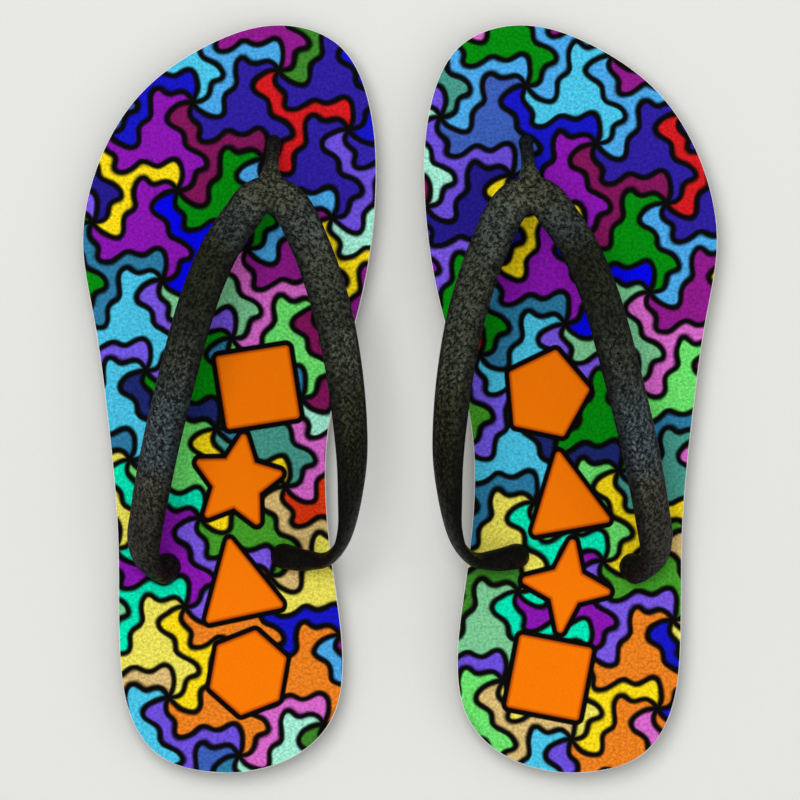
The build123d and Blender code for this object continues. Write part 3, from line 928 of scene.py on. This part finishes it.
def rib_skin(band, finish):
    """The flat field of ribs laid over the band's crown on both arms, in a right sandal's frame.

    Gives the mesh, and for each of its corners the same places as band_places does.
    """
    tree = rib_field_tree()
    length = band.length[-1]
    rows = int(length / RIB_ROW_PITCH)
    holder = bpy.data.objects.new("ribs", bpy.data.meshes.new("ribs"))
    scene.collection.objects.link(holder)
    grown = holder.modifiers.new("ribs", "NODES")
    grown.node_group = tree
    values = {name: value for name, _, value in RIB_INPUTS}
    values["Field Length"] = (rows - 1) * RIB_ROW_PITCH
    values["Rows"] = rows
    values["Rib Rubber"] = finish
    for socket in tree.interface.items_tree:
        if socket.in_out == "INPUT":
            grown[socket.identifier] = values[socket.name]
    mesh = bpy.data.meshes.new_from_object(holder.evaluated_get(bpy.context.evaluated_depsgraph_get()))
    bpy.data.objects.remove(holder)

    points = np.empty(len(mesh.vertices) * 3)
    mesh.vertices.foreach_get("co", points)
    points = points.reshape(-1, 3)
    each = len(points) // (rows * RIB_COLUMNS)
    ribs = points.reshape(-1, each, 3)
    ribs[:, :, 0] += length / 2
    middle = ribs[:, :, 0].mean(1)
    rise = np.zeros(len(ribs))
    for start, full, fading, end in RIB_ZONES:
        rise = np.maximum(rise, np.interp(middle, (start, full, fading, end), (0, 1, 1, 0)))
    ribs[:, :, 2] *= rise[:, None]
    along, across, height = points.T
    crown = curve_through(np.array(FLAT_CROWN, float), np.linspace(0, 1, CROWN_SAMPLES))
    half = np.interp(along, band.length, band.rows[:, 3]) / 2
    thickness = np.interp(along, band.length, band.rows[:, 4])
    over = np.interp(across / half, crown[:, 0], crown[:, 1])

    def at(field):
        return np.stack([np.interp(along, band.length, field[:, i]) for i in range(3)], 1)

    lift = over * thickness + height - RIB_SINK
    laid = at(band.centres) + at(band.across) * across[:, None] + at(band.up) * lift[:, None]
    mesh.vertices.foreach_set("co", (laid / MM).ravel())
    places = np.stack([along, across / half, over], 1)
    skin = bmesh.new()
    skin.from_mesh(mesh)
    skin.verts.ensure_lookup_table()
    kept = np.repeat(rise >= RIB_LEAST, each)
    flat = [skin.verts[i] for i in np.flatnonzero(~kept)]
    bmesh.ops.delete(skin, geom=flat, context="VERTS")
    bmesh.ops.recalc_face_normals(skin, faces=skin.faces[:])
    skin.to_mesh(mesh)
    skin.free()
    return mesh, places[kept]


# ---- build ------------------------------------------------------------------------------------------
foam = foam_finish()
rubber = outsole_finish()
strap_rubber = strap_finish("charcoal_strap_rubber")
# The ribs' finish is a paler copy of the strap's: a painted highlight.
rib_rubber = strap_finish("charcoal_rib_rubber", painted_highlight=RIB_PAINTED_HIGHLIGHT)
limbs = (OUTER_ARM, OUTER_HOLE), (YOKE_CROWN, TOE_HOLE), (INNER_ARM, INNER_HOLE)
band = Run(np.vstack([placed(stations, hole) for stations, hole in limbs]))
post = Run(placed(TOE_POST, TOE_HOLE))
strap_skin = strap_mesh(band, post)
strap_places = band_places(strap_skin, band, post)
ribs_skin, ribs_places = rib_skin(band, rib_rubber)

for side, axis_x, shapes, shift in (
    ("left", -SIDE_AXIS, LEFT_SHAPES, LEFT_PATTERN_SHIFT),
    ("right", SIDE_AXIS, RIGHT_SHAPES, RIGHT_PATTERN_SHIFT),
):
    cloth = print_finish(side, axis_x, shapes, shift)
    for layer, finish, slot in (
        ("print_sheet", cloth, "printed_cloth"),
        ("footbed", foam, "foam"),
        ("outsole", rubber, "outsole_rubber"),
    ):
        piece = whole_layer(side, layer, finish)
    strap = strap_piece(f"{side}_moulded_strap", side, strap_skin, strap_places, strap_rubber)
    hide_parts(f"{side}_strap")
    strap_piece(f"{side}_strap_ribs", side, ribs_skin, ribs_places, rib_rubber)

# ---- floor, light and camera ------------------------------------------------------------------------
HALF_FLOOR = 4.0
FLOOR_DROP = 0.0002
SKY_STRENGTH = 0.6
floor_mesh = bpy.data.meshes.new("floor")
floor_corners = [
    (HALF_FLOOR * x, HALF_FLOOR * y, -FLOOR_DROP) for x, y in ((-1, -1), (1, -1), (1, 1), (-1, 1))
]
floor_mesh.from_pydata(floor_corners, [], [(0, 1, 2, 3)])
floor = bpy.data.objects.new("floor", floor_mesh)
floor_mesh.materials.append(floor_finish())
scene.collection.objects.link(floor)

scene.view_settings.view_transform = "Standard"
world = scene.world or bpy.data.worlds.new("studio")
scene.world = world
world.use_nodes = True
sky = next(n for n in world.node_tree.nodes if n.type == "BACKGROUND")
sky.inputs["Color"].default_value = (1.0, 1.0, 1.0, 1.0)
sky.inputs["Strength"].default_value = SKY_STRENGTH


def soft_lamp(name, place, size, watts):
    """A square soft box that looks at the middle of the pair."""
    data = bpy.data.lights.new(name, "AREA")
    data.shape = "SQUARE"
    data.size = size
    data.energy = watts
    lamp = bpy.data.objects.new(name, data)
    lamp.location = place
    lamp.rotation_euler = (-lamp.location).to_track_quat("-Z", "Y").to_euler()
    scene.collection.objects.link(lamp)


soft_lamp("key_softbox", place=(-0.3, 0.4, 1.8), size=0.8, watts=14.2)
soft_lamp("fill_softbox", place=(1.1, -0.4, 1.4), size=1.2, watts=4.0)

CAMERA_HEIGHT = 3.0
CAMERA_Y = -0.0004
FRAME_WIDTH = 0.2992  # what the camera takes in from side to side, at the height of the soles' tops
SENSOR = 36.0
CAMERA_REACH = 20.0
camera_data = bpy.data.cameras.new("camera")
camera_data.sensor_width = SENSOR
camera_data.lens = SENSOR * (CAMERA_HEIGHT - SOLE_TOP) / FRAME_WIDTH
camera_data.clip_end = CAMERA_REACH
camera = bpy.data.objects.new("camera", camera_data)
camera.location = (0.0, CAMERA_Y, CAMERA_HEIGHT)
scene.collection.objects.link(camera)
scene.camera = camera
